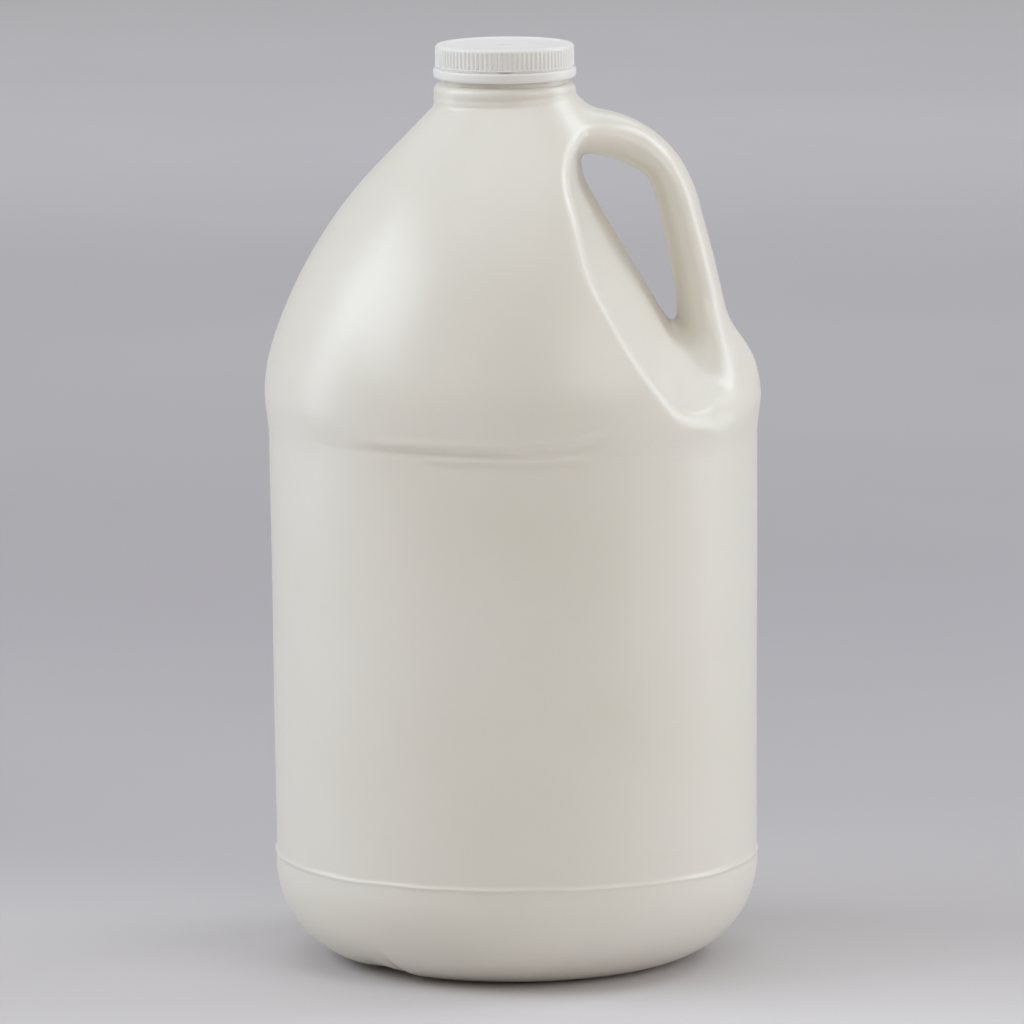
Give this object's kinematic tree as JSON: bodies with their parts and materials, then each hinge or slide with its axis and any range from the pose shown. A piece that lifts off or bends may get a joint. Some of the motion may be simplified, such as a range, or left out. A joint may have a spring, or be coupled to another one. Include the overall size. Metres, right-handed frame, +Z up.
{
  "type": "plastic milk jug",
  "caption": "Full one-gallon round white plastic milk jug with a loop handle, a ribbed white screw cap and a tamper band.",
  "frame": {"origin": "middle of the base, on the surface that the jug stands on", "axes": "+Z up along the jug's axis, +X towards the handle, the mould's parting plane at y = 0"},
  "size_m": [0.155, 0.155, 0.287],
  "materials": {
    "jug_plastic": "satin blow-moulded polyethylene, cream white from the milk behind it",
    "cap_plastic": "satin injection-moulded polypropylene, cool white"
  },
  "bodies": {
    "root": {"jug": "jug_plastic", "cap": "cap_plastic", "tamper_band": "cap_plastic"}
  },
  "joints": []
}
